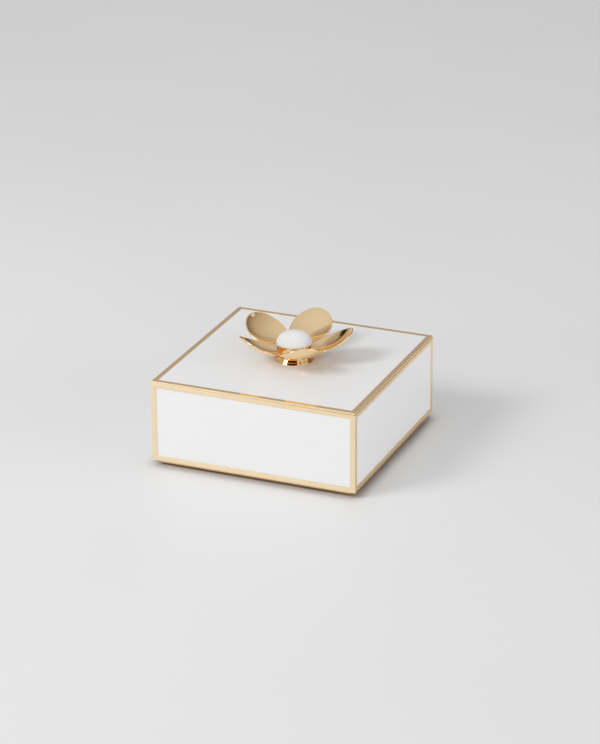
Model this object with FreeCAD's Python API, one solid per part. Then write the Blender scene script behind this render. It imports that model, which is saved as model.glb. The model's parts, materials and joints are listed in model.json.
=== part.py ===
import FreeCAD, Part
import math
import os

from FreeCAD import Vector

# Square vanity trinket box: a gold box with enamel fields, velvet inside, and a lift-off lid
# whose knob is a five-petal flower round a white dome bead.
# Millimetres. Origin: middle of the base, on the surface the box stands on. +Z up, front is -Y.

# ---- driving dimensions -------------------------------------------------------------------

box_width = 120.0            # outside of the square body, along X and along Y

# base
felt_thick = 0.5
felt_inset = 5.0             # from the body's side to the edge of the felt
felt_corner_r = 0.5
base_thick = 2.8
base_inset = 3.8             # the plinth stands in from the body's sides
base_screw_inset = 16.0      # from the body's side to each screw's axis
base_screw_length = 4.0
base_screw_shank_r = 1.25
base_screw_head_r = 2.4
base_screw_head_high = 1.4
base_screw_play = 0.05

# body shell
body_high = 45.8
wall_thick = 2.4
floor_thick = 2.0
edge_round = 0.3
field_edge_round = 0.12      # on the gold edges round every enamel field
top_rail = 2.5               # gold border over each side field
bottom_rail = 3.0
corner_post = 3.0
field_depth = 0.9            # how far a side field is sunk into the wall
enamel_thick = 0.5

# lid
lid_inset = 0.25             # the lid's edge stands in from the body's sides
lid_thick = 1.2
lid_edge_round = 0.2
lid_rim = 2.9                # gold border round the enamel in the lid's top
lid_field_depth = 0.62
board_thick = 4.5            # locating board under the lid
board_play = 0.5             # from the wrapped board to the shell, each side
wrap_thick = 0.8             # velvet round the board
wrap_round = 1.2

# velvet lining inside the body
card_thick = 1.5
card_play = 0.3
pad_thick = 4.0
pad_play = 0.3
pad_round = 2.0
liner_thick = 1.5
liner_drop = 6.0             # from the shell's top edge down to the liners' top edge
liner_play = 0.05

# flower: heights are counted from the lid's top
foot_flange_r = 11.25
foot_flange_high = 1.0
foot_tier_r = 10.2
foot_high = 2.3
foot_lean_deg = 14.0         # how far the foot's two walls lean in as they rise
foot_edge_round = 0.15
hub_neck_r = 6.0
hub_band_r = 8.8
hub_band_low = 5.3           # where the neck's cove meets the band
hub_lip_r = 9.8
hub_lip_high = 0.5
hub_top = 9.0
petal_count = 5
petal_first_deg = 15.0       # direction of petal 1, counted from +X towards +Y
petal_reach = 22.3           # from the flower's axis to the middle of a petal
petal_lift = 9.0             # from the lid's top to the middle of a petal
petal_tilt_deg = 25.0        # rise of a petal from the level, at its middle
petal_half_long = 13.3
petal_half_wide = 12.1
petal_bend_along = 21.5      # radius of a petal's hollow along its length
petal_bend_across = 28.5     # and across it
petal_thick = 0.9
petal_edge_round = 0.4
bead_r = 10.1
bead_high = 7.0
bead_edge_round = 0.5

# fixings of the flower
stem_r = 1.95
stem_hole_r = 2.0
stem_head_r = 3.8
stem_head_high = 2.2
stem_grip = 3.5              # length of the stem screw inside the hub
washer_r = 4.6
washer_thick = 0.8
counterbore_r = 5.0
peg_r = 1.5
peg_hole_r = 1.55
peg_in_hub = 2.4
peg_in_bead = 3.5
glue_gap = 0.1

# ---- worked out from them -----------------------------------------------------------------

half_width = box_width / 2
base_top = felt_thick + base_thick
body_top = base_top + body_high
inner_half = half_width - wall_thick
floor_top = base_top + floor_thick
card_top = floor_top + card_thick
liner_top = body_top - liner_drop
lid_half = half_width - lid_inset
lid_top = body_top + lid_thick
field_bottom = lid_top - lid_field_depth
board_bottom = body_top - board_thick
wrap_half = inner_half - board_play
board_half = wrap_half - wrap_thick
foot_top = lid_top + foot_high
hub_top_z = lid_top + hub_top
stem_top = foot_top + stem_grip
counterbore_top = board_bottom + stem_head_high + washer_thick

ORIGIN = Vector(0, 0, 0)
X_AXIS = Vector(1, 0, 0)
Y_AXIS = Vector(0, 1, 0)
UP = Vector(0, 0, 1)
FULL_TURN = 360
QUARTER_TURN = 90
DISH_SWEEP_DEG = 45          # each way, wider than the petal's outline
OVERCUT = 1.0                # how far a cutting block runs past the face that it opens
SLACK = 0.01                 # for picking edges by where they are
LEVEL = 0.001                # an edge whose box is thinner than this is straight that way


# ---- helpers ------------------------------------------------------------------------------

def slab(half_x, half_y, low, high, centre_x=0.0, centre_y=0.0):
    """A plain block centred on a point in plan, between two heights."""
    corner = Vector(centre_x - half_x, centre_y - half_y, low)
    return Part.makeBox(2 * half_x, 2 * half_y, high - low, corner)


def edges_in(solid, low, high):
    """The edges of a solid that lie wholly in the block between two corners."""
    block = FreeCAD.BoundBox(low, high)
    return [edge for edge in solid.Edges if block.isInside(edge.BoundBox)]


def standing_edges(solid):
    """The edges of a block that run straight up."""
    found = []
    for edge in solid.Edges:
        box = edge.BoundBox
        if box.XLength < LEVEL and box.YLength < LEVEL:
            found.append(edge)
    return found


def rounded_slab(half_x, half_y, low, high, radius):
    """A block whose four standing edges are rounded."""
    block = slab(half_x, half_y, low, high)
    return block.makeFillet(radius, standing_edges(block))


def softened_slab(half_x, half_y, low, high, radius):
    """A block with every edge rounded."""
    block = slab(half_x, half_y, low, high)
    return block.makeFillet(radius, block.Edges)


def rod(radius, low, high, x=0.0, y=0.0):
    """An upright cylinder."""
    return Part.makeCylinder(radius, high - low, Vector(x, y, low), UP)


def turned(edges):
    """The solid made by turning a closed outline, drawn in the XZ plane, about the Z axis."""
    outline = Part.Face(Part.Wire(edges))
    return outline.revolve(ORIGIN, UP, FULL_TURN)


def line(start, end):
    """A straight edge in the XZ plane between two (radius, height) points."""
    return Part.LineSegment(Vector(start[0], 0, start[1]), Vector(end[0], 0, end[1])).toShape()


def profile(points):
    """Straight edges that join (radius, height) points in order."""
    return [line(a, b) for a, b in zip(points, points[1:])]


def spun(solid, angle):
    """A copy turned about the Z axis."""
    copy = solid.copy()
    copy.rotate(ORIGIN, UP, angle)
    return copy


# ---- body ---------------------------------------------------------------------------------

SIDE_ANGLES = {"front": 0, "right": 90, "back": 180, "left": 270}


def field_block(depth_from, depth_to):
    """The block that fills the front field between two depths into the wall."""
    half_long = half_width - corner_post
    low = base_top + bottom_rail
    high = body_top - top_rail
    corner = Vector(-half_long, -half_width + depth_from, low)
    return Part.makeBox(2 * half_long, depth_to - depth_from, high - low, corner)


def base_screw_places():
    """The four screw axes, one near each corner of the base."""
    reach = half_width - base_screw_inset
    return [(sx * reach, sy * reach) for sx in (-1, 1) for sy in (-1, 1)]


def base_screw(x, y, play=0.0):
    """One countersunk screw, its flat head level with the base plate's lower face. With some
    play it is the hole that the screw goes in."""
    head_r = base_screw_head_r + play
    shank_r = base_screw_shank_r + play
    head_top = felt_thick + base_screw_head_high
    tip = felt_thick + base_screw_length + play
    head = Part.makeCone(head_r, shank_r, base_screw_head_high, Vector(x, y, felt_thick), UP)
    return head.fuse(rod(shank_r, head_top, tip, x, y)).removeSplitter()


def make_base_screws(play=0.0):
    return Part.makeCompound([base_screw(x, y, play) for x, y in base_screw_places()])


def front_field_edges(solid):
    """The four gold edges round the front field."""
    half_long = half_width - corner_post
    low = Vector(-half_long, -half_width, base_top + bottom_rail)
    high = Vector(half_long, -half_width, body_top - top_rail)
    slack = Vector(SLACK, SLACK, SLACK)
    return edges_in(solid, low - slack, high + slack)


def make_body_shell():
    """Floor and four walls in one piece, a sunk field in the outside of each wall."""
    shell = softened_slab(half_width, half_width, base_top, body_top, edge_round)
    shell = shell.cut(slab(inner_half, inner_half, floor_top, body_top + OVERCUT))
    inner = Vector(inner_half + SLACK, inner_half + SLACK, SLACK)
    mouth = Vector(0, 0, body_top)
    shell = shell.makeFillet(edge_round, edges_in(shell, mouth - inner, mouth + inner))
    for _ in SIDE_ANGLES:
        shell = shell.cut(field_block(-OVERCUT, field_depth))
        shell = shell.makeFillet(field_edge_round, front_field_edges(shell))
        shell = spun(shell, QUARTER_TURN)
    return shell.cut(make_base_screws(base_screw_play))


def make_enamel(side):
    """The white field of one side, sunk a little below the gold border round it."""
    enamel = field_block(field_depth - enamel_thick, field_depth)
    return spun(enamel, SIDE_ANGLES[side])


def make_base_plate():
    half = half_width - base_inset
    plate = softened_slab(half, half, felt_thick, base_top, edge_round)
    return plate.cut(make_base_screws(base_screw_play))


def make_base_felt():
    half = half_width - felt_inset
    return rounded_slab(half, half, 0, felt_thick, felt_corner_r)


def make_floor_card():
    half = inner_half - card_play
    return slab(half, half, floor_top, card_top)


def make_floor_pad():
    half = inner_half - liner_play - liner_thick - pad_play
    return rounded_slab(half, half, card_top, card_top + pad_thick, pad_round)


def make_liner(side):
    """A velvet-covered board against one wall. The front and back boards run the full width,
    and the side boards fit between them."""
    half_long = inner_half - liner_play
    if side in ("left", "right"):
        half_long -= liner_thick + liner_play
    centre_y = -inner_half + liner_play + liner_thick / 2
    board = slab(half_long, liner_thick / 2, card_top, liner_top, 0.0, centre_y)
    return spun(board, SIDE_ANGLES[side])


# ---- lid ----------------------------------------------------------------------------------

def make_lid_frame():
    plate = softened_slab(lid_half, lid_half, body_top, lid_top, lid_edge_round)
    half = lid_half - lid_rim
    plate = plate.cut(slab(half, half, field_bottom, lid_top + OVERCUT))
    reach = Vector(half + SLACK, half + SLACK, SLACK)
    rim = Vector(0, 0, lid_top)
    plate = plate.makeFillet(field_edge_round, edges_in(plate, rim - reach, rim + reach))
    return plate.cut(rod(stem_hole_r, body_top - OVERCUT, lid_top + OVERCUT))


def make_lid_panel():
    half = lid_half - lid_rim
    panel = slab(half, half, field_bottom, field_bottom + enamel_thick)
    return panel.cut(rod(stem_hole_r, field_bottom - OVERCUT, lid_top + OVERCUT))


def make_lid_board():
    board = slab(board_half, board_half, board_bottom, body_top)
    board = board.cut(rod(stem_hole_r, board_bottom - OVERCUT, body_top + OVERCUT))
    return board.cut(rod(counterbore_r, board_bottom - OVERCUT, counterbore_top))


def make_lid_lining():
    """Velvet wrapped round the board's sides and lower face."""
    wrap = rounded_slab(wrap_half, wrap_half, board_bottom - wrap_thick, body_top, wrap_round)
    return wrap.cut(slab(board_half, board_half, board_bottom, body_top + OVERCUT))


# ---- flower knob --------------------------------------------------------------------------

def make_flower_foot():
    """A turned disc: a thin flange with a smaller tier on it, the walls of both leaning in."""
    lean = math.tan(math.radians(foot_lean_deg))
    foot_low = field_bottom + enamel_thick
    flange_top = lid_top + foot_flange_high
    flange_top_r = foot_flange_r - lean * (flange_top - foot_low)
    tier_top_r = foot_tier_r - lean * (foot_top - flange_top)
    points = [
        (stem_hole_r, foot_low),
        (foot_flange_r, foot_low),
        (flange_top_r, flange_top),
        (foot_tier_r, flange_top),
        (tier_top_r, foot_top),
        (stem_hole_r, foot_top),
        (stem_hole_r, foot_low),
    ]
    foot = turned(profile(points))
    rims = []
    for edge in foot.Edges:
        top = edge.BoundBox.ZMax
        wide = edge.BoundBox.XLength / 2
        flat = edge.BoundBox.ZLength < LEVEL
        on_flange = abs(top - flange_top) < LEVEL and abs(wide - flange_top_r) < SLACK
        on_tier = abs(top - foot_top) < LEVEL and abs(wide - tier_top_r) < SLACK
        if flat and (on_flange or on_tier):
            rims.append(edge)
    return foot.makeFillet(foot_edge_round, rims)


def make_flower_hub():
    """A turned hub: a coved neck, the band that carries the petals, and the lip under the
    bead. The stem screw comes in from below and the bead's peg from above."""
    band_low = lid_top + hub_band_low
    lip_low = hub_top_z - hub_lip_high
    stem_hole_top = stem_top + glue_gap
    peg_hole_low = hub_top_z - peg_in_hub - glue_gap
    cove_r = hub_band_r - hub_neck_r
    cove_low = band_low - cove_r
    cove_in = cove_r * math.cos(math.radians(QUARTER_TURN / 2))
    cove = Part.Arc(
        Vector(hub_neck_r, 0, cove_low),
        Vector(hub_band_r - cove_in, 0, cove_low + cove_in),
        Vector(hub_band_r, 0, band_low),
    )
    outside = profile([
        (hub_band_r, band_low),
        (hub_band_r, lip_low),
        (hub_lip_r, lip_low),
        (hub_lip_r, hub_top_z),
        (peg_hole_r, hub_top_z),
        (peg_hole_r, peg_hole_low),
        (0, peg_hole_low),
        (0, stem_hole_top),
        (stem_hole_r, stem_hole_top),
        (stem_hole_r, foot_top),
        (hub_neck_r, foot_top),
        (hub_neck_r, cove_low),
    ])
    return turned([cove.toShape()] + outside)


def petal_section():
    """The upright cross-section of a petal's hollow, taken along its length: a strip of even
    thickness between two arcs, its middle at the origin."""
    turn = math.radians(DISH_SWEEP_DEG)
    arcs = []
    for radius in (petal_bend_along, petal_bend_along + petal_thick):
        reach = radius * math.sin(turn)
        rise = petal_bend_along - radius * math.cos(turn)
        lowest = Vector(0, 0, petal_bend_along - radius)
        arcs.append(Part.Arc(Vector(-reach, 0, rise), lowest, Vector(reach, 0, rise)))
    inner, outer = arcs
    right_end = Part.LineSegment(inner.EndPoint, outer.EndPoint).toShape()
    left_end = Part.LineSegment(inner.StartPoint, outer.StartPoint).toShape()
    return Part.Face(Part.Wire([inner.toShape(), right_end, outer.toShape(), left_end]))


def make_petal_blank():
    """One petal lying along +X: a dished piece of even thickness with an oval outline, tilted
    up at its outer end, before its inner end is fitted to the hub."""
    pivot = Vector(0, 0, petal_bend_across)
    section = petal_section()
    section.rotate(pivot, X_AXIS, -DISH_SWEEP_DEG)
    dish = section.revolve(pivot, X_AXIS, 2 * DISH_SWEEP_DEG)
    oval = Part.Ellipse(ORIGIN, petal_half_long, petal_half_wide)
    cutter = Part.Face(Part.Wire([oval.toShape()]))
    cutter.translate(Vector(0, 0, -petal_half_long))
    petal = dish.common(cutter.extrude(Vector(0, 0, 2 * petal_half_long))).Solids[0]
    rims = [edge for edge in petal.Edges if edge.Closed]
    petal = petal.makeFillet(petal_edge_round, rims)
    petal.rotate(ORIGIN, Y_AXIS, -petal_tilt_deg)
    petal.translate(Vector(petal_reach, 0, lid_top + petal_lift))
    return petal


def make_petal(fitted, number):
    """The numbered petal: a copy of the fitted one, turned to its place round the hub."""
    angle = petal_first_deg + (number - 1) * FULL_TURN / petal_count
    return spun(fitted, angle)


def make_bead():
    """A flat-based dome with a blind hole for its peg."""
    rim = Vector(bead_r, 0, hub_top_z)
    crown = Vector(0, 0, hub_top_z + bead_high)
    middle = Vector(0, 0, hub_top_z)
    curve = Part.Ellipse(rim, crown, middle)
    dome_edge = Part.ArcOfEllipse(curve, 0, math.radians(QUARTER_TURN)).toShape()
    dome = turned([dome_edge] + profile([(0, crown.z), (0, middle.z), (bead_r, middle.z)]))
    rims = [e for e in dome.Edges if e.BoundBox.ZLength < LEVEL and e.Length > bead_r]
    dome = dome.makeFillet(bead_edge_round, rims)
    hole_top = hub_top_z + peg_in_bead + glue_gap
    return dome.cut(rod(peg_hole_r, hub_top_z - OVERCUT, hole_top))


def make_bead_peg():
    return rod(peg_r, hub_top_z - peg_in_hub, hub_top_z + peg_in_bead)


def make_stem_washer():
    washer = rod(washer_r, counterbore_top - washer_thick, counterbore_top)
    return washer.cut(rod(stem_hole_r, board_bottom, lid_top))


def make_stem_screw():
    """The screw that holds the flower: head under the lid's board, tip in the hub."""
    head_top = counterbore_top - washer_thick
    head = rod(stem_head_r, head_top - stem_head_high, head_top)
    return head.fuse(rod(stem_r, head_top, stem_top)).removeSplitter()


# ---- all the nodes ------------------------------------------------------------------------

def make_nodes():
    nodes = {
        "body_shell": make_body_shell(),
        "base_plate": make_base_plate(),
        "base_felt": make_base_felt(),
        "base_screws": make_base_screws(),
        "floor_card": make_floor_card(),
        "floor_pad": make_floor_pad(),
    }
    for side in SIDE_ANGLES:
        nodes[side + "_panel"] = make_enamel(side)
        nodes["liner_" + side] = make_liner(side)
    nodes["lid_frame"] = make_lid_frame()
    nodes["lid_panel"] = make_lid_panel()
    nodes["lid_board"] = make_lid_board()
    nodes["lid_lining"] = make_lid_lining()
    nodes["stem_washer"] = make_stem_washer()
    nodes["stem_screw"] = make_stem_screw()
    nodes["flower_foot"] = make_flower_foot()
    nodes["flower_hub"] = make_flower_hub()
    fitted = make_petal_blank().cut(nodes["flower_hub"])
    for number in range(1, petal_count + 1):
        nodes["petal_%d" % number] = make_petal(fitted, number)
    nodes["bead"] = make_bead()
    nodes["bead_peg"] = make_bead_peg()
    return nodes


os.makedirs("parts", exist_ok=True)
for name, shape in make_nodes().items():
    shape.exportStep("parts/" + name + ".step")
    box = shape.BoundBox
    print(
        "%-12s solids %d valid %s volume %9.1f  z %6.2f to %6.2f"
        % (name, len(shape.Solids), shape.isValid(), shape.Volume, box.ZMin, box.ZMax)
    )
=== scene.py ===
import bpy
import json
import math
from mathutils import Matrix, Vector


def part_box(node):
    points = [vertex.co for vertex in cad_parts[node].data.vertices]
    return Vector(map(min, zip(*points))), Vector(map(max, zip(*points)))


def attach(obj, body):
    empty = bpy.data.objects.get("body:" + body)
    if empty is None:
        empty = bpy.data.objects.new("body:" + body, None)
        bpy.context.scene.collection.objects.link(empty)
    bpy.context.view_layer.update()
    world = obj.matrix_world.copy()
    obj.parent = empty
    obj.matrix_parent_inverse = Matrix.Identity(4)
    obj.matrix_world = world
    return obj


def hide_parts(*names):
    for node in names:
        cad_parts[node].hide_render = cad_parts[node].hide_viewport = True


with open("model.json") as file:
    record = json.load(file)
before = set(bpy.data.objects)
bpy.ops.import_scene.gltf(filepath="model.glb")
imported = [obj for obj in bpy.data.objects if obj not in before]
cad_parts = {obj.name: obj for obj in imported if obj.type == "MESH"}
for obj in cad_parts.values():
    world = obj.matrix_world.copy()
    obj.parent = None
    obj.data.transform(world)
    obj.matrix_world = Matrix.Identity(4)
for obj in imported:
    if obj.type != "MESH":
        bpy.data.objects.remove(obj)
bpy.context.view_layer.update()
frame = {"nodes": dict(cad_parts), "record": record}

MM = 0.001

# ---- where things are, from the frame -----------------------------------------------------

lid_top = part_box("lid_frame")[1].z

# ---- the flower's driving sizes, as in the CAD --------------------------------------------

PETAL_COUNT = 5
PETAL_FIRST = math.radians(15.0)
PETAL_REACH = 22.3 * MM
PETAL_LIFT = 9.0 * MM
PETAL_TILT = math.radians(25.0)
PETAL_HALF_LONG = 13.3 * MM
PETAL_HALF_WIDE = 12.1 * MM
PETAL_BEND_ALONG = 21.5 * MM
PETAL_BEND_ACROSS = 28.5 * MM
PETAL_THICK = 0.9 * MM
HUB_BAND_R = 8.8 * MM

# How finely a petal's mesh is divided: round its outline, from middle to rim, and over the rim.
PETAL_AROUND = 128
PETAL_RINGS = 28
PETAL_RIM_STEPS = 10

# ---- the soft pieces' sizes ---------------------------------------------------------------

# STEPS count a mesh's divisions along X, Y and Z, or along a liner, through it and up it. The
# higher a POWER is, the closer to the edge the surface stays full.
PAD_INSET = 0.7 * MM
PAD_CROWN = 1.1 * MM
PAD_CROWN_POWER = 4
PAD_CORNER = 1.2 * MM
PAD_STEPS = (54, 54, 2)
PAD_PRESSURE = 1.5
PAD_FRAMES = 16
PAD_HELD_BELOW = 0.2 * MM
LINER_CORNER = 0.6 * MM
LINER_EDGE_THIN = 0.25
LINER_END_POWER = 40
LINER_TOP_POWER = 12
LINER_STEPS = (56, 1, 18)
WRAP_CORNER = 1.5 * MM
WRAP_SAG = 0.35 * MM
WRAP_SAG_POWER = 10
WRAP_THICK = 0.7 * MM
WRAP_STEPS = (56, 56, 4)
FELT_CORNER = 0.2 * MM
FELT_STEPS = (54, 54, 1)
BLOCK_CORNER_STEPS = 4

# ---- the view and the light ---------------------------------------------------------------

CAMERA_AT = Vector((0.60004, -1.43111, 0.68993))
CAMERA_AZIMUTH = math.radians(22.635)
CAMERA_ELEVATION = math.radians(22.672)
CAMERA_ROLL = math.radians(-0.276)
CAMERA_LENS = 146.27
CAMERA_SENSOR = 36.0

# The studio walls' brightness by elevation, how much lighter the left side is, and the
# panels: azimuth, elevation, half width and width of the edge in degrees, and brightness. A
# panel of negative brightness darkens the wall.
WALL_SHADES = ((0, 0.10), (8, 0.13), (15, 0.22), (24, 0.31), (34, 0.39), (50, 0.43), (90, 0.465))
LIGHT_SIDE = (205, 0.12)
WALL_PANELS = (
    (300, 16, 26, 6, 0.45),
    (237, 7, 12, 4, 3.0),
    (265, -5, 15, 5, -0.3),
    (292, -5, 19, 5, -0.62),
    (355, 6, 22, 14, 1.95),
    (355, -8, 24, 14, -1.6),
    (27, 22, 6, 2, 0.3),
    (143, 30, 17, 14, -0.15),
    (155, 18, 8, 9, -0.16),
)
WALL_DARKEST = 0.03

# The lights: azimuth and elevation in degrees, distance, width and height in metres, and power
# in watts. They face LIGHT_AIM.
KEY_LIGHT = (228, 39, 1.3, 0.45, 0.45, 5.8)
FILL_LIGHT = (358, 12, 1.3, 0.6, 0.4, 2.0)
LIGHT_AIM = Vector((0, 0, 30 * MM))

# The floor's size from its middle, and the contact shadow painted into its colour close to what
# stands on it: how far it reaches and how dark it gets.
FLOOR_REACH = 6.0
FLOOR_PAINTED_SHADE_REACH = 7 * MM
FLOOR_PAINTED_SHADE_DEPTH = 0.6

# The tone curve. Its points lie closer together in the dark tones.
TONE_CONTRAST = 1.6
TONE_KNEE = 0.25
TONE_STEPS = 12
TONE_SPREAD = 1.5
COMBINED_CURVE = 3           # after the red, green and blue ones


# ---- meshes -------------------------------------------------------------------------------

def make_object(name, points, faces, smooth=True):
    """A mesh object from points and faces."""
    mesh = bpy.data.meshes.new(name)
    mesh.from_pydata([tuple(p) for p in points], [], faces)
    mesh.update()
    mesh.polygons.foreach_set("use_smooth", [smooth] * len(mesh.polygons))
    piece = bpy.data.objects.new(name, mesh)
    bpy.context.scene.collection.objects.link(piece)
    return piece


def finish_piece(piece, body, material, nodes):
    """Puts a new piece on its body, with its finish, in place of the CAD nodes it stands for."""
    piece.data.materials.clear()
    piece.data.materials.append(material)
    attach(piece, body)
    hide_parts(*nodes)


# ---- node helpers -------------------------------------------------------------------------

class Shader:
    """A new node material with one Principled shader, and short ways to add nodes to it."""

    def __init__(self, name):
        self.material = bpy.data.materials.new(name)
        self.material.use_nodes = True
        self.nodes = self.material.node_tree.nodes
        self.links = self.material.node_tree.links
        self.principled = self.nodes["Principled BSDF"]
        self.place = self.nodes.new("ShaderNodeTexCoord").outputs["Object"]

    def set(self, **values):
        """Sets the shader's own sockets. An underscore in a name stands for a space."""
        for name, value in values.items():
            self.principled.inputs[name.replace("_", " ")].default_value = value

    def link(self, source, socket_name):
        """Drives one of the shader's own sockets."""
        self.links.new(source, self.principled.inputs[socket_name])

    def stretched(self, x, y, z):
        """The object's coordinates, scaled along each axis."""
        mapping = self.nodes.new("ShaderNodeMapping")
        mapping.inputs["Scale"].default_value = (x, y, z)
        self.links.new(self.place, mapping.inputs["Vector"])
        return mapping.outputs["Vector"]

    def noise(self, scale, detail=2.0, roughness=0.5, place=None, distortion=0.0):
        """Soft noise. The scale is about how many patches it has to a metre."""
        node = self.nodes.new("ShaderNodeTexNoise")
        node.inputs["Scale"].default_value = scale
        node.inputs["Detail"].default_value = detail
        node.inputs["Roughness"].default_value = roughness
        node.inputs["Distortion"].default_value = distortion
        self.links.new(place or self.place, node.inputs["Vector"])
        return node.outputs["Fac"]

    def cells(self, scale):
        """The distance to the nearest of many scattered points."""
        node = self.nodes.new("ShaderNodeTexVoronoi")
        node.inputs["Scale"].default_value = scale
        self.links.new(self.place, node.inputs["Vector"])
        return node.outputs["Distance"]

    def ranged(self, source, low, high, from_low=0.3, from_high=0.7):
        """A value rescaled from one range to another, and held within it."""
        node = self.nodes.new("ShaderNodeMapRange")
        node.inputs["From Min"].default_value = from_low
        node.inputs["From Max"].default_value = from_high
        node.inputs["To Min"].default_value = low
        node.inputs["To Max"].default_value = high
        self.links.new(source, node.inputs["Value"])
        return node.outputs["Result"]

    def blend(self, source, first, second):
        """A colour between two, by a value from 0 to 1."""
        node = self.nodes.new("ShaderNodeMix")
        node.data_type = "RGBA"
        self.links.new(source, node.inputs["Factor"])
        for name, colour in (("A", first), ("B", second)):
            socket = [s for s in node.inputs if s.name == name and s.type == "RGBA"][0]
            socket.default_value = (*colour, 1.0)
        return [s for s in node.outputs if s.type == "RGBA"][0]

    def painted_shade_near(self, colour, reach, deepest):
        """The colour with a painted contact shadow: darker where something stands within reach.
        In the corner by a wall, half of the view upwards is open."""
        corner = self.nodes.new("ShaderNodeAmbientOcclusion")
        corner.samples = 8
        corner.inputs["Distance"].default_value = reach
        shade = self.ranged(corner.outputs["AO"], deepest, 1.0, from_low=0.5, from_high=1.0)
        scaled = self.nodes.new("ShaderNodeVectorMath")
        scaled.operation = "SCALE"
        self.links.new(colour, scaled.inputs[0])
        self.links.new(shade, scaled.inputs["Scale"])
        return scaled.outputs["Vector"]

    def sum(self, first, second, share=1.0):
        """The first value plus a share of the second."""
        node = self.nodes.new("ShaderNodeMath")
        node.operation = "MULTIPLY_ADD"
        self.links.new(second, node.inputs[0])
        node.inputs[1].default_value = share
        self.links.new(first, node.inputs[2])
        return node.outputs["Value"]

    def bump(self, height, distance, strength=1.0):
        """Relief on the surface: a height of 1 stands for the distance, in metres."""
        node = self.nodes.new("ShaderNodeBump")
        node.inputs["Strength"].default_value = strength
        node.inputs["Distance"].default_value = distance
        self.links.new(height, node.inputs["Height"])
        self.link(node.outputs["Normal"], "Normal")


# ---- materials ----------------------------------------------------------------------------

def gold(name, light, deep, smooth, rough, wave):
    """Polished gold plate: a tint that drifts a little, a faint waviness and fine polish marks."""
    s = Shader(name)
    s.set(Metallic=1.0)
    drift = s.ranged(s.noise(60, detail=3), 0.0, 1.0)
    s.link(s.blend(drift, light, deep), "Base Color")
    marks = s.noise(900, detail=4, roughness=0.6, place=s.stretched(1.0, 1.0, 6.0))
    worn = s.sum(s.noise(140, detail=3), marks, share=0.3)
    s.link(s.ranged(worn, smooth, rough, from_low=0.45, from_high=0.95), "Roughness")
    ripple = s.sum(s.noise(110, detail=1), marks, share=0.02)
    s.bump(ripple, distance=wave)
    return s.material


def white_enamel():
    """Poured white resin: glossy, with the slow waviness of a cast surface."""
    s = Shader("white_enamel")
    s.set(IOR=1.5)
    clouds = s.ranged(s.noise(35, detail=3), 0.0, 1.0)
    s.link(s.blend(clouds, (0.84, 0.84, 0.84), (0.87, 0.87, 0.868)), "Base Color")
    s.link(s.ranged(s.noise(90, detail=3), 0.025, 0.05), "Roughness")
    s.bump(s.noise(45, detail=1), distance=3e-6)
    return s.material


def white_bead():
    """Satin white resin, slightly translucent."""
    s = Shader("white_bead")
    s.set(IOR=1.5, Subsurface_Weight=0.2, Subsurface_Radius=(1.0, 0.95, 0.9), Subsurface_Scale=0.0012)
    clouds = s.ranged(s.noise(180, detail=3), 0.0, 1.0)
    s.link(s.blend(clouds, (0.80, 0.80, 0.805), (0.83, 0.83, 0.83)), "Base Color")
    s.link(s.ranged(s.noise(260, detail=3), 0.24, 0.32), "Roughness")
    s.bump(s.noise(2600, detail=2), distance=3e-6)
    return s.material


def velvet():
    """Short velvet pile: brushed patches lie lighter and darker, over a fine pile."""
    s = Shader("velvet")
    s.set(Roughness=1.0, Sheen_Weight=0.7, Sheen_Roughness=0.4, Sheen_Tint=(1.0, 0.96, 0.9, 1.0))
    nap = s.noise(32, detail=2, distortion=0.5)
    tufts = s.noise(1300, detail=3, roughness=0.65)
    pile = s.noise(5200, detail=3, roughness=0.7)
    lie = s.sum(s.sum(nap, tufts, share=0.9), pile, share=0.5)
    shade = s.ranged(lie, 0.0, 1.0, from_low=0.85, from_high=1.6)
    s.link(s.blend(shade, (0.50, 0.44, 0.37), (0.74, 0.68, 0.60)), "Base Color")
    relief = s.sum(s.sum(pile, s.cells(3800), share=0.6), tufts, share=0.8)
    s.bump(relief, distance=1.1e-4, strength=0.8)
    return s.material


def felt():
    """Pressed wool felt: matted fibres, no weave."""
    s = Shader("felt")
    s.set(Roughness=1.0, Sheen_Weight=0.3, Sheen_Roughness=0.5)
    along = s.stretched(1.0, 2.6, 1.0)
    fibres = s.noise(2400, detail=5, roughness=0.75, place=along, distortion=2.0)
    clumps = s.noise(420, detail=3, roughness=0.6)
    shade = s.sum(fibres, clumps, share=0.4)
    s.link(s.blend(shade, (0.012, 0.012, 0.013), (0.07, 0.07, 0.075)), "Base Color")
    s.bump(s.sum(fibres, clumps, share=0.8), distance=1.6e-4)
    return s.material


def grey_card():
    """Recycled grey board, flecked."""
    s = Shader("grey_card")
    s.set(Roughness=0.95)
    flecks = s.noise(1500, detail=4, roughness=0.8)
    shade = s.ranged(flecks, 0.0, 1.0)
    s.link(s.blend(shade, (0.30, 0.28, 0.25), (0.48, 0.45, 0.41)), "Base Color")
    s.bump(flecks, distance=5e-5)
    return s.material


def fibreboard():
    """Brown fibreboard with fine chips."""
    s = Shader("fibreboard")
    s.set(Roughness=0.85)
    chips = s.noise(900, detail=5, roughness=0.7, place=s.stretched(1.0, 1.0, 5.0))
    shade = s.ranged(chips, 0.0, 1.0)
    s.link(s.blend(shade, (0.26, 0.16, 0.09), (0.44, 0.30, 0.18)), "Base Color")
    s.bump(chips, distance=6e-5)
    return s.material


def plain_steel():
    """Zinc-plated steel with turning marks."""
    s = Shader("plain_steel")
    s.set(Metallic=1.0)
    marks = s.noise(800, detail=3, roughness=0.6, place=s.stretched(1.0, 1.0, 12.0))
    shade = s.ranged(marks, 0.0, 1.0)
    s.link(s.blend(shade, (0.50, 0.50, 0.52), (0.66, 0.66, 0.67)), "Base Color")
    s.link(s.ranged(marks, 0.22, 0.36), "Roughness")
    s.bump(marks, distance=8e-6)
    return s.material


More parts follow.
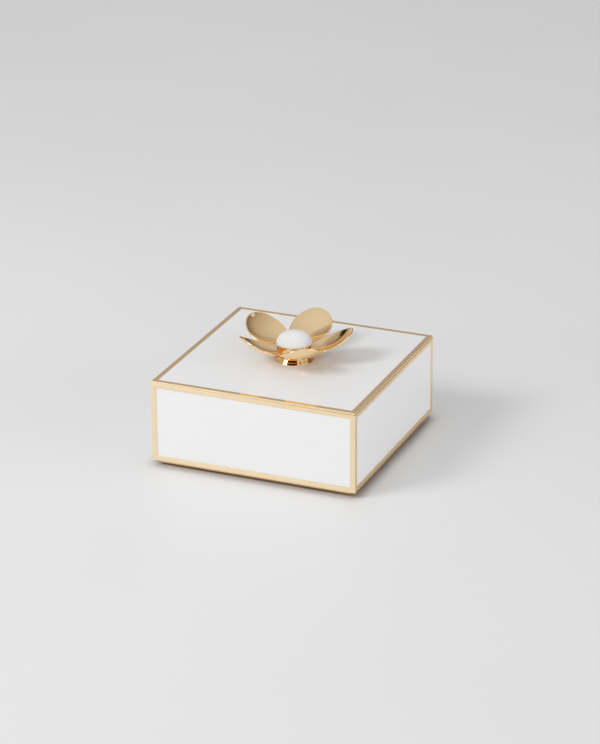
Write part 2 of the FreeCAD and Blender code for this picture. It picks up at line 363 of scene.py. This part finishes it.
def pale_floor():
    """The studio floor: pale, smooth, very slightly mottled, with a contact shadow painted into its
    colour where things stand on it.
    """
    s = Shader("pale_floor")
    clouds = s.ranged(s.noise(3.5, detail=4), 0.0, 1.0)
    mottled = s.blend(clouds, (0.80, 0.80, 0.80), (0.83, 0.83, 0.828))
    # Painted contact shadow: the floor's colour darkens near whatever stands on it.
    s.link(s.painted_shade_near(mottled, FLOOR_PAINTED_SHADE_REACH, FLOOR_PAINTED_SHADE_DEPTH), "Base Color")
    s.link(s.ranged(s.noise(9, detail=3), 0.36, 0.46), "Roughness")
    return s.material


# ---- the flower ---------------------------------------------------------------------------

def dish_height(u, v, skin):
    """Height of a petal's dished surface over a point of its outline plane. Skin 0 is the
    inside, and the petal's thickness is the outside."""
    along = PETAL_BEND_ALONG + skin
    drop = PETAL_BEND_ALONG - math.sqrt(along * along - u * u)
    return PETAL_BEND_ACROSS - math.sqrt((PETAL_BEND_ACROSS - drop) ** 2 - v * v)


def petal_place(u, v, w, azimuth):
    """From a petal's own coordinates (out, across, up) to the frame's. What would enter the hub
    stops at the hub's side."""
    out = PETAL_REACH + u * math.cos(PETAL_TILT) - w * math.sin(PETAL_TILT)
    up = lid_top + PETAL_LIFT + u * math.sin(PETAL_TILT) + w * math.cos(PETAL_TILT)
    point = Matrix.Rotation(azimuth, 3, "Z") @ Vector((out, v, up))
    radius = math.hypot(point.x, point.y)
    if radius < HUB_BAND_R:
        point.x *= HUB_BAND_R / radius
        point.y *= HUB_BAND_R / radius
    return point


def make_petal(number, material):
    """A petal as one closed skin: inside, rounded rim, outside."""
    around = PETAL_AROUND
    azimuth = PETAL_FIRST + (number - 1) * math.tau / PETAL_COUNT
    half = PETAL_THICK / 2
    loops = []

    def surface_loop(share, skin):
        loop = []
        for i in range(around):
            turn = math.tau * i / around
            u = (PETAL_HALF_LONG - half) * share * math.cos(turn)
            v = (PETAL_HALF_WIDE - half) * share * math.sin(turn)
            loop.append(petal_place(u, v, dish_height(u, v, skin), azimuth))
        loops.append(loop)

    def rim_loop(swing):
        loop = []
        for i in range(around):
            turn = math.tau * i / around
            u = (PETAL_HALF_LONG - half) * math.cos(turn)
            v = (PETAL_HALF_WIDE - half) * math.sin(turn)
            away = Vector((math.cos(turn) / PETAL_HALF_LONG, math.sin(turn) / PETAL_HALF_WIDE))
            away.normalize()
            inside = dish_height(u, v, 0.0)
            outside = dish_height(u, v, PETAL_THICK)
            w = inside + (outside - inside) * (1 - math.cos(swing)) / 2
            u += away.x * half * math.sin(swing)
            v += away.y * half * math.sin(swing)
            loop.append(petal_place(u, v, w, azimuth))
        loops.append(loop)

    for ring in range(1, PETAL_RINGS + 1):
        surface_loop(ring / PETAL_RINGS, 0.0)
    for step in range(1, PETAL_RIM_STEPS):
        rim_loop(math.pi * step / PETAL_RIM_STEPS)
    for ring in range(PETAL_RINGS, 0, -1):
        surface_loop(ring / PETAL_RINGS, PETAL_THICK)

    points = [point for loop in loops for point in loop]
    faces = []
    for a in range(len(loops) - 1):
        for i in range(around):
            j = (i + 1) % around
            low, high = a * around, (a + 1) * around
            faces.append((low + i, high + i, high + j, low + j))
    inner_middle = len(points)
    points.append(petal_place(0, 0, 0, azimuth))
    points.append(petal_place(0, 0, -PETAL_THICK, azimuth))
    last = (len(loops) - 1) * around
    for i in range(around):
        j = (i + 1) % around
        faces.append((inner_middle, i, j))
        faces.append((inner_middle + 1, last + j, last + i))
    petal = make_object("petal_%d_polished" % number, points, faces)
    finish_piece(petal, "lid", material, ["petal_%d" % number])


# ---- soft pieces --------------------------------------------------------------------------

def steps_along(low, high, corner, middle_steps):
    """Places along one side of a block: close together in its rounded ends, even between."""
    ends = []
    for step in range(BLOCK_CORNER_STEPS):
        turn = math.pi / 2 * step / BLOCK_CORNER_STEPS
        ends.append(corner * (1 - math.cos(turn)))
    span = high - low - 2 * corner
    middle = [corner + span * i / middle_steps for i in range(middle_steps + 1)]
    return [low + e for e in ends] + [low + m for m in middle] + [high - e for e in reversed(ends)]


def make_block(name, low, high, corner, middle_steps, open_top=False):
    """A closed block with rounded edges and a fine even skin."""
    axes = [steps_along(low[k], high[k], corner, middle_steps[k]) for k in range(3)]
    last = [len(axis) - 1 for axis in axes]
    points, index, faces = [], {}, []

    def corner_at(key):
        if key not in index:
            index[key] = len(points)
            point = Vector([axes[k][key[k]] for k in range(3)])
            core = Vector([min(max(point[k], low[k] + corner), high[k] - corner) for k in range(3)])
            if open_top:
                core.z = min(max(point.z, low[2] + corner), high[2])
            away = point - core
            if away.length > 0:
                point = core + away.normalized() * corner
            points.append(point)
        return index[key]

    for axis in range(3):
        first, second = (axis + 1) % 3, (axis + 2) % 3
        for end in (0, last[axis]):
            if open_top and axis == 2 and end:
                continue
            for i in range(last[first]):
                for j in range(last[second]):
                    face = []
                    for a, b in ((i, j), (i + 1, j), (i + 1, j + 1), (i, j + 1)):
                        key = [0, 0, 0]
                        key[axis], key[first], key[second] = end, a, b
                        face.append(corner_at(tuple(key)))
                    faces.append(face if end else face[::-1])
    return make_object(name, points, faces)


def keep_modifiers(piece):
    """Applies what the piece's modifiers do now, and leaves none on it."""
    bpy.context.view_layer.update()
    seen = piece.evaluated_get(bpy.context.evaluated_depsgraph_get())
    mesh = bpy.data.meshes.new_from_object(seen)
    piece.modifiers.clear()
    piece.data = mesh


def swell(piece, floor, pressure, frames):
    """Lets a pad's cover fill out by cloth simulation. What lies on the floor stays there."""
    held = piece.vertex_groups.new(name="held")
    resting = [v.index for v in piece.data.vertices if v.co.z < floor + PAD_HELD_BELOW]
    held.add(resting, 1.0, "REPLACE")
    cloth = piece.modifiers.new("fill", "CLOTH")
    cloth.settings.quality = 8
    cloth.settings.mass = 0.2
    cloth.settings.tension_stiffness = 12
    cloth.settings.compression_stiffness = 12
    cloth.settings.shear_stiffness = 5
    cloth.settings.bending_stiffness = 0.3
    cloth.settings.vertex_group_mass = "held"
    cloth.settings.use_pressure = True
    cloth.settings.uniform_pressure_force = pressure
    cloth.settings.effector_weights.gravity = 0
    cloth.collision_settings.use_collision = False
    cloth.point_cache.frame_end = frames
    scene = bpy.context.scene
    for number in range(1, frames + 1):
        scene.frame_set(number)
    keep_modifiers(piece)
    scene.frame_set(1)


def keep_inside(piece, low, high):
    """Holds every point of a piece inside a box."""
    for vertex in piece.data.vertices:
        for k in range(3):
            vertex.co[k] = min(max(vertex.co[k], low[k]), high[k])


def make_floor_pad(material):
    """The velvet pad in the tray: a foam-filled cover, crowned between its edges."""
    low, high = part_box("floor_pad")
    inset = Vector((PAD_INSET, PAD_INSET, 0))
    top = Vector((0, 0, PAD_CROWN))
    pad = make_block("floor_pad_velvet", low + inset, high - inset - top, PAD_CORNER, PAD_STEPS)
    middle = (low + high) / 2
    half = (high - low) / 2
    for vertex in pad.data.vertices:
        if vertex.co.z > middle.z:
            across = (vertex.co.x - middle.x) / half.x
            along = (vertex.co.y - middle.y) / half.y
            rise = (1 - across ** PAD_CROWN_POWER) * (1 - along ** PAD_CROWN_POWER)
            vertex.co.z += PAD_CROWN * rise
    swell(pad, low.z, PAD_PRESSURE, PAD_FRAMES)
    keep_inside(pad, low, high)
    smooth = pad.modifiers.new("smooth", "SUBSURF")
    smooth.levels = 1
    keep_modifiers(pad)
    finish_piece(pad, "body", material, ["floor_pad"])


def make_liner(side, material):
    """A velvet-covered board: full in the middle and soft at its edges."""
    node = "liner_" + side
    low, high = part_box(node)
    size = high - low
    long_axis = 0 if size.x > size.y else 1
    thin_axis = 1 - long_axis
    steps = list(LINER_STEPS)
    if long_axis:
        steps[0], steps[1] = steps[1], steps[0]
    liner = make_block(node + "_velvet", low, high, LINER_CORNER, steps)
    middle = (low + high) / 2
    for vertex in liner.data.vertices:
        along = (vertex.co[long_axis] - middle[long_axis]) / (size[long_axis] / 2)
        upward = (vertex.co.z - middle.z) / (size.z / 2)
        edge = max(abs(along) ** LINER_END_POWER, abs(upward) ** LINER_TOP_POWER)
        full = 1 - LINER_EDGE_THIN * edge
        wall = low if abs(low[thin_axis]) > abs(high[thin_axis]) else high
        vertex.co[thin_axis] = wall[thin_axis] + (vertex.co[thin_axis] - wall[thin_axis]) * full
    finish_piece(liner, "body", material, [node])


def make_lid_lining(material):
    """Velvet stretched over the lid's board and turned up its sides."""
    low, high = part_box("lid_lining")
    size = high - low
    lining = make_block("lid_lining_velvet", low, high, WRAP_CORNER, WRAP_STEPS, open_top=True)
    for vertex in lining.data.vertices:
        across = abs(vertex.co.x) / (size.x / 2)
        along = abs(vertex.co.y) / (size.y / 2)
        under = 1 - min((vertex.co.z - low.z) / WRAP_CORNER, 1)
        edge = max(across ** WRAP_SAG_POWER, along ** WRAP_SAG_POWER)
        vertex.co.z += WRAP_SAG * under * edge
    thick = lining.modifiers.new("cloth thickness", "SOLIDIFY")
    thick.thickness = WRAP_THICK
    thick.offset = -1
    keep_modifiers(lining)
    finish_piece(lining, "lid", material, ["lid_lining"])


def make_base_felt(material):
    """Die-cut felt glued under the base."""
    low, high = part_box("base_felt")
    sheet = make_block("base_felt_sheet", low, high, FELT_CORNER, FELT_STEPS)
    finish_piece(sheet, "body", material, ["base_felt"])


# ---- the stage ----------------------------------------------------------------------------

def add_camera():
    """The camera. Its azimuth is counted from the front towards the right."""
    data = bpy.data.cameras.new("camera")
    data.sensor_width = CAMERA_SENSOR
    data.lens = CAMERA_LENS
    camera = bpy.data.objects.new("camera", data)
    flat = math.cos(CAMERA_ELEVATION)
    back = Vector((
        math.sin(CAMERA_AZIMUTH) * flat,
        -math.cos(CAMERA_AZIMUTH) * flat,
        math.sin(CAMERA_ELEVATION),
    ))
    right = Vector((math.cos(CAMERA_AZIMUTH), math.sin(CAMERA_AZIMUTH), 0.0))
    up = back.cross(right)
    turn = Matrix((right, up, back)).transposed() @ Matrix.Rotation(CAMERA_ROLL, 3, "Z")
    camera.matrix_world = Matrix.Translation(CAMERA_AT) @ turn.to_4x4()
    bpy.context.scene.collection.objects.link(camera)
    bpy.context.scene.camera = camera


def direction(azimuth, elevation):
    """A unit vector. Azimuth is counted from +X towards +Y, in degrees."""
    azimuth, elevation = math.radians(azimuth), math.radians(elevation)
    flat = math.cos(elevation)
    return Vector((math.cos(azimuth) * flat, math.sin(azimuth) * flat, math.sin(elevation)))


def add_panel_light(name, azimuth, elevation, distance, wide, high, power):
    """A soft flat light that faces the object. Polished pieces don't mirror it."""
    data = bpy.data.lights.new(name, "AREA")
    data.shape = "RECTANGLE"
    data.size = wide
    data.size_y = high
    data.energy = power
    light = bpy.data.objects.new(name, data)
    away = direction(azimuth, elevation)
    light.location = LIGHT_AIM + away * distance
    light.rotation_mode = "QUATERNION"
    light.rotation_quaternion = (-away).to_track_quat("-Z", "Y")
    light.visible_glossy = False
    bpy.context.scene.collection.objects.link(light)


def add_world():
    """A plain studio: walls that get lighter upwards, with large soft panels in front of them,
    some lighter than the wall and some darker."""
    world = bpy.data.worlds.new("studio")
    world.use_nodes = True
    nodes, links = world.node_tree.nodes, world.node_tree.links
    background = nodes["Background"]
    outward = nodes.new("ShaderNodeTexCoord").outputs["Generated"]
    parts = nodes.new("ShaderNodeSeparateXYZ")
    links.new(outward, parts.inputs[0])
    wall = nodes.new("ShaderNodeValToRGB")
    stops = wall.color_ramp.elements
    for elevation, _ in WALL_SHADES[1:-1]:
        stops.new(math.sin(math.radians(elevation)))
    for stop, (_, shade) in zip(stops, WALL_SHADES):
        stop.color = (shade, shade, shade, 1)
    links.new(parts.outputs["Z"], wall.inputs[0])
    lighter = nodes.new("ShaderNodeVectorMath")
    lighter.operation = "DOT_PRODUCT"
    lighter.inputs[1].default_value = direction(LIGHT_SIDE[0], 0) * LIGHT_SIDE[1]
    links.new(outward, lighter.inputs[0])
    total = nodes.new("ShaderNodeVectorMath")
    total.operation = "ADD"
    links.new(wall.outputs["Color"], total.inputs[0])
    links.new(lighter.outputs["Value"], total.inputs[1])
    total = total.outputs["Vector"]
    for azimuth, elevation, reach, edge, shade in WALL_PANELS:
        facing = nodes.new("ShaderNodeVectorMath")
        facing.operation = "DOT_PRODUCT"
        facing.inputs[1].default_value = direction(azimuth, elevation)
        links.new(outward, facing.inputs[0])
        glow = nodes.new("ShaderNodeMapRange")
        glow.interpolation_type = "SMOOTHSTEP"
        glow.inputs["From Min"].default_value = math.cos(math.radians(reach + edge / 2))
        glow.inputs["From Max"].default_value = math.cos(math.radians(reach - edge / 2))
        glow.inputs["To Min"].default_value = 0.0
        glow.inputs["To Max"].default_value = shade
        links.new(facing.outputs["Value"], glow.inputs["Value"])
        added = nodes.new("ShaderNodeVectorMath")
        added.operation = "ADD"
        links.new(total, added.inputs[0])
        links.new(glow.outputs["Result"], added.inputs[1])
        total = added.outputs["Vector"]
    bounded = nodes.new("ShaderNodeVectorMath")
    bounded.operation = "MAXIMUM"
    bounded.inputs[1].default_value = (WALL_DARKEST, WALL_DARKEST, WALL_DARKEST)
    links.new(total, bounded.inputs[0])
    links.new(bounded.outputs["Vector"], background.inputs["Color"])
    background.inputs["Strength"].default_value = 1.0
    bpy.context.scene.world = world


def add_tone():
    """The film's contrast: deep tones fall faster and light tones roll off, as in a print."""
    view = bpy.context.scene.view_settings
    view.view_transform = "Standard"
    view.use_curve_mapping = True
    curve = view.curve_mapping.curves[COMBINED_CURVE]
    for step in range(1, TONE_STEPS):
        light = (step / TONE_STEPS) ** TONE_SPREAD
        lifted = light ** TONE_CONTRAST
        curve.points.new(light, (1 + TONE_KNEE) * lifted / (lifted + TONE_KNEE))
    view.curve_mapping.update()


def add_floor():
    """The pale floor, a flat square."""
    reach = FLOOR_REACH
    corners = [(-reach, -reach, 0), (reach, -reach, 0), (reach, reach, 0), (-reach, reach, 0)]
    floor = make_object("floor", corners, [(0, 1, 2, 3)], smooth=False)
    floor.data.materials.append(pale_floor())


# ---- putting it together ------------------------------------------------------------------

gold_plate = gold(
    "gold_plate",
    light=(1.0, 0.735, 0.475),
    deep=(0.98, 0.715, 0.455),
    smooth=0.03,
    rough=0.06,
    wave=3e-6,
)
gold_flower = gold(
    "gold_flower",
    light=(1.0, 0.71, 0.44),
    deep=(0.98, 0.69, 0.42),
    smooth=0.02,
    rough=0.04,
    wave=1e-6,
)
pile = velvet()
finishes = {
    "gold_plate": gold_plate,
    "gold_flower": gold_flower,
    "white_enamel": white_enamel(),
    "white_bead": white_bead(),
    "velvet": pile,
    "felt": felt(),
    "card": grey_card(),
    "board": fibreboard(),
    "steel": plain_steel(),
}
for row in frame["record"]["subparts"]:
    node = frame["nodes"][row["node"]]
    for place in node.material_slots:
        place.material = finishes[row["material_slot"]]

for petal_number in range(1, PETAL_COUNT + 1):
    make_petal(petal_number, gold_flower)

make_floor_pad(pile)
for wall in ("front", "right", "back", "left"):
    make_liner(wall, pile)
make_lid_lining(pile)
make_base_felt(finishes["felt"])

add_camera()
add_world()
add_floor()
add_panel_light("key", *KEY_LIGHT)
add_panel_light("fill", *FILL_LIGHT)
add_tone()
